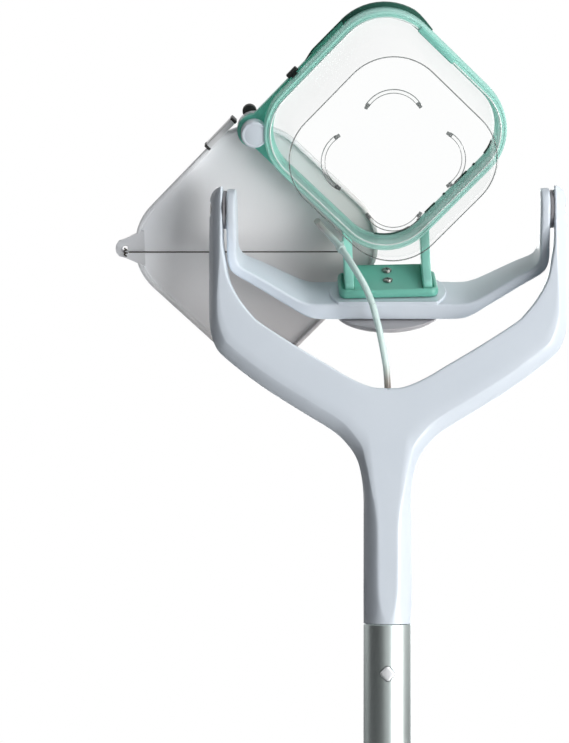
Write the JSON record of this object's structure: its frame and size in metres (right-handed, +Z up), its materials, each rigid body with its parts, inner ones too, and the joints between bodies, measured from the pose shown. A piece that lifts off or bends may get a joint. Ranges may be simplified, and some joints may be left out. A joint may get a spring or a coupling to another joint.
{
  "type": "spider catcher",
  "caption": "Clear cup in a tilting, turning head on a forked pole; a sliding grip pulls a string that swings a lid across the cup's mouth to trap an insect.",
  "frame": {"origin": "centre of the flat foot of the end cap, on the pole's axis", "axes": "+Z up the pole towards the fork, -Y the front, where the cup's closed end points, +X to the right seen from the front"},
  "size_m": [0.2399, 0.1453, 1.4023],
  "materials": {
    "lilac_plastic": "smooth satin moulding",
    "tube": "fine brushed, anodised",
    "inner_plastic": "plain moulding",
    "steel": "zinc plated",
    "washer": "matt",
    "green_plastic": "slightly translucent moulding",
    "dark_green_plastic": "slightly translucent moulding",
    "black_rubber": "matt",
    "clear_plastic": "polished and clear",
    "lid_plastic": "smooth satin moulding",
    "white_plastic": "plain moulding",
    "string": "braided line",
    "guide_plastic": "translucent tube",
    "grip_plastic": "fine texture"
  },
  "bodies": {
    "pole": {"fork": "lilac_plastic", "upper_tube": "tube", "lower_tube": "tube", "joint_plug": "inner_plastic", "end_cap": "inner_plastic", "snap_spring_fork": "steel", "snap_spring_joint": "steel", "snap_spring_cap": "steel", "pivot_screw_left": "steel", "pivot_screw_right": "steel", "pivot_washer_left": "washer", "pivot_washer_right": "washer", "guide_tube_lower": "guide_plastic"},
    "cradle": {"cradle": "lilac_plastic"},
    "head": {"hub_cap": "lilac_plastic", "bracket": "green_plastic", "bracket_screw_front": "steel", "bracket_screw_rear": "steel", "cup_frame": "green_plastic", "guide_clip": "green_plastic", "rim_clip": "dark_green_plastic", "latch_pad": "black_rubber", "cup": "clear_plastic", "lid_pin": "steel", "pivot_cap": "lilac_plastic", "lid_spring": "steel", "guide_tube_upper": "guide_plastic", "pull_cord_lid": "string"},
    "lid": {"lid": "lid_plastic", "lid_stop": "white_plastic", "spring_post": "black_rubber", "cord_knot": "string"},
    "grip": {"grip_front": "grip_plastic", "grip_rear": "grip_plastic", "lock_collar": "grip_plastic", "grip_screw_1": "steel", "grip_screw_2": "steel", "grip_screw_3": "steel", "grip_screw_4": "steel", "cord_anchor": "inner_plastic", "anchor_bolt": "steel", "lock_spring": "steel", "pull_cord_pole": "string"},
    "lock_button": {"lock_button": "white_plastic"},
    "snap_button_fork": {"snap_button_fork": "steel"},
    "snap_button_joint": {"snap_button_joint": "steel"},
    "snap_button_cap": {"snap_button_cap": "steel"}
  },
  "joints": [
    {"name": "cradle_tilt", "type": "hinge", "parent": "pole", "child": "cradle", "pos_m": [0, 0, 1.294], "axis": [1, 0, 0], "range_deg": [-20, 70], "deforming": ["guide_tube_lower"]},
    {"name": "head_turn", "type": "hinge", "parent": "cradle", "child": "head", "pos_m": [0, 0.02111, 1.25257], "axis": [0, -0.454, 0.891], "range_deg": [-15, 2.5], "deforming": ["guide_tube_upper"]},
    {"name": "lid_swing", "type": "hinge", "parent": "head", "child": "lid", "pos_m": [-0.07095, 0.01182, 1.33874], "axis": [0.0591, -0.9276, -0.369], "range_deg": [0, 90], "deforming": ["pull_cord_lid", "lid_spring"]},
    {"name": "grip_slide", "type": "slide", "parent": "pole", "child": "grip", "axis": [0, 0, -1], "range_m": [0, 0.085], "stiffness_N_per_m": 150, "springref_m": -0.035},
    {"name": "lock_press", "type": "slide", "parent": "grip", "child": "lock_button", "axis": [0, 1, 0], "range_m": [0, 0.003], "stiffness_N_per_m": 800, "springref_m": -0.004, "deforming": ["lock_spring"]},
    {"name": "snap_press_fork", "type": "slide", "parent": "pole", "child": "snap_button_fork", "axis": [0, 1, 0], "range_m": [0, 0.003], "stiffness_N_per_m": 800, "springref_m": -0.004, "deforming": ["snap_spring_fork"]},
    {"name": "snap_press_joint", "type": "slide", "parent": "pole", "child": "snap_button_joint", "axis": [0, 1, 0], "range_m": [0, 0.003], "stiffness_N_per_m": 800, "springref_m": -0.004, "deforming": ["snap_spring_joint"]},
    {"name": "snap_press_cap", "type": "slide", "parent": "pole", "child": "snap_button_cap", "axis": [0, 1, 0], "range_m": [0, 0.003], "stiffness_N_per_m": 800, "springref_m": -0.004, "deforming": ["snap_spring_cap"]}
  ],
  "couplings": [
    {"joint": "lid_swing", "follows": "grip_slide", "rad_per_m": 18.47}
  ]
}
